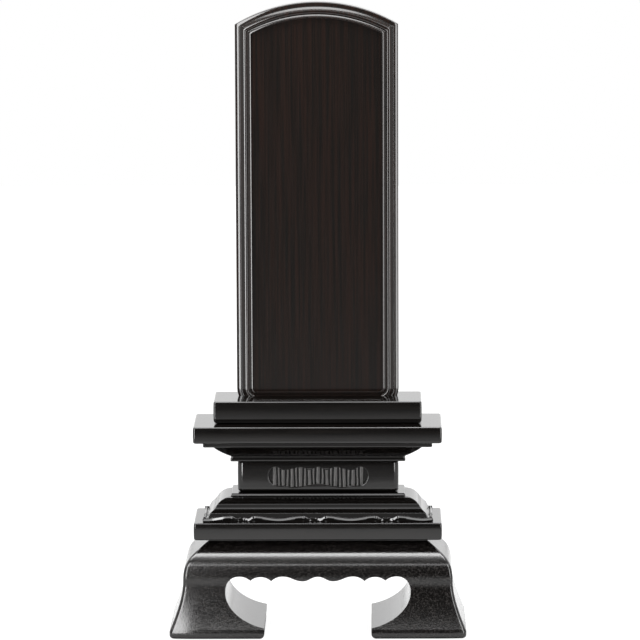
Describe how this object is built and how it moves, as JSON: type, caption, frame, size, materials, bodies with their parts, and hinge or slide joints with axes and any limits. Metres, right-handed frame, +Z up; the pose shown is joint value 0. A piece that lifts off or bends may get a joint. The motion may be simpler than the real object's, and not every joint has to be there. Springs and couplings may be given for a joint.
{
  "type": "buddhist memorial tablet",
  "caption": "Free-standing memorial tablet: an arched, framed board that lifts out of a stepped stand with carved mouldings on a low leg base.",
  "frame": {"origin": "on the ground under the middle of the leg base", "axes": "+X to the viewer's right as the tablet faces them, -Y out of the tablet's face, +Z up"},
  "size_m": [0.1294, 0.0538, 0.275],
  "materials": {
    "ebony_board": "polished black-brown ebony with faint reddish upright grain",
    "ebony_polished": "polished black-brown ebony",
    "ebony_satin": "satin black-brown ebony with open pores",
    "dowel_wood": "plain pale hardwood, hidden"
  },
  "bodies": {
    "stand": {"top_plate": "ebony_polished", "upper_plate": "ebony_polished", "cornice_moulding": "ebony_polished", "waist_block": "ebony_polished", "lower_moulding": "ebony_polished", "lower_plate": "ebony_polished", "leg_base": "ebony_satin", "top_dowel_left": "dowel_wood", "top_dowel_right": "dowel_wood", "waist_dowel_left": "dowel_wood", "waist_dowel_right": "dowel_wood", "foot_dowel_left": "dowel_wood", "foot_dowel_right": "dowel_wood"},
    "tablet": {"tablet_board": "ebony_board"}
  },
  "joints": [
    {"name": "tablet_lift", "type": "slide", "parent": "stand", "child": "tablet", "axis": [0, 0, 1], "range_m": [0, 0.02]}
  ]
}
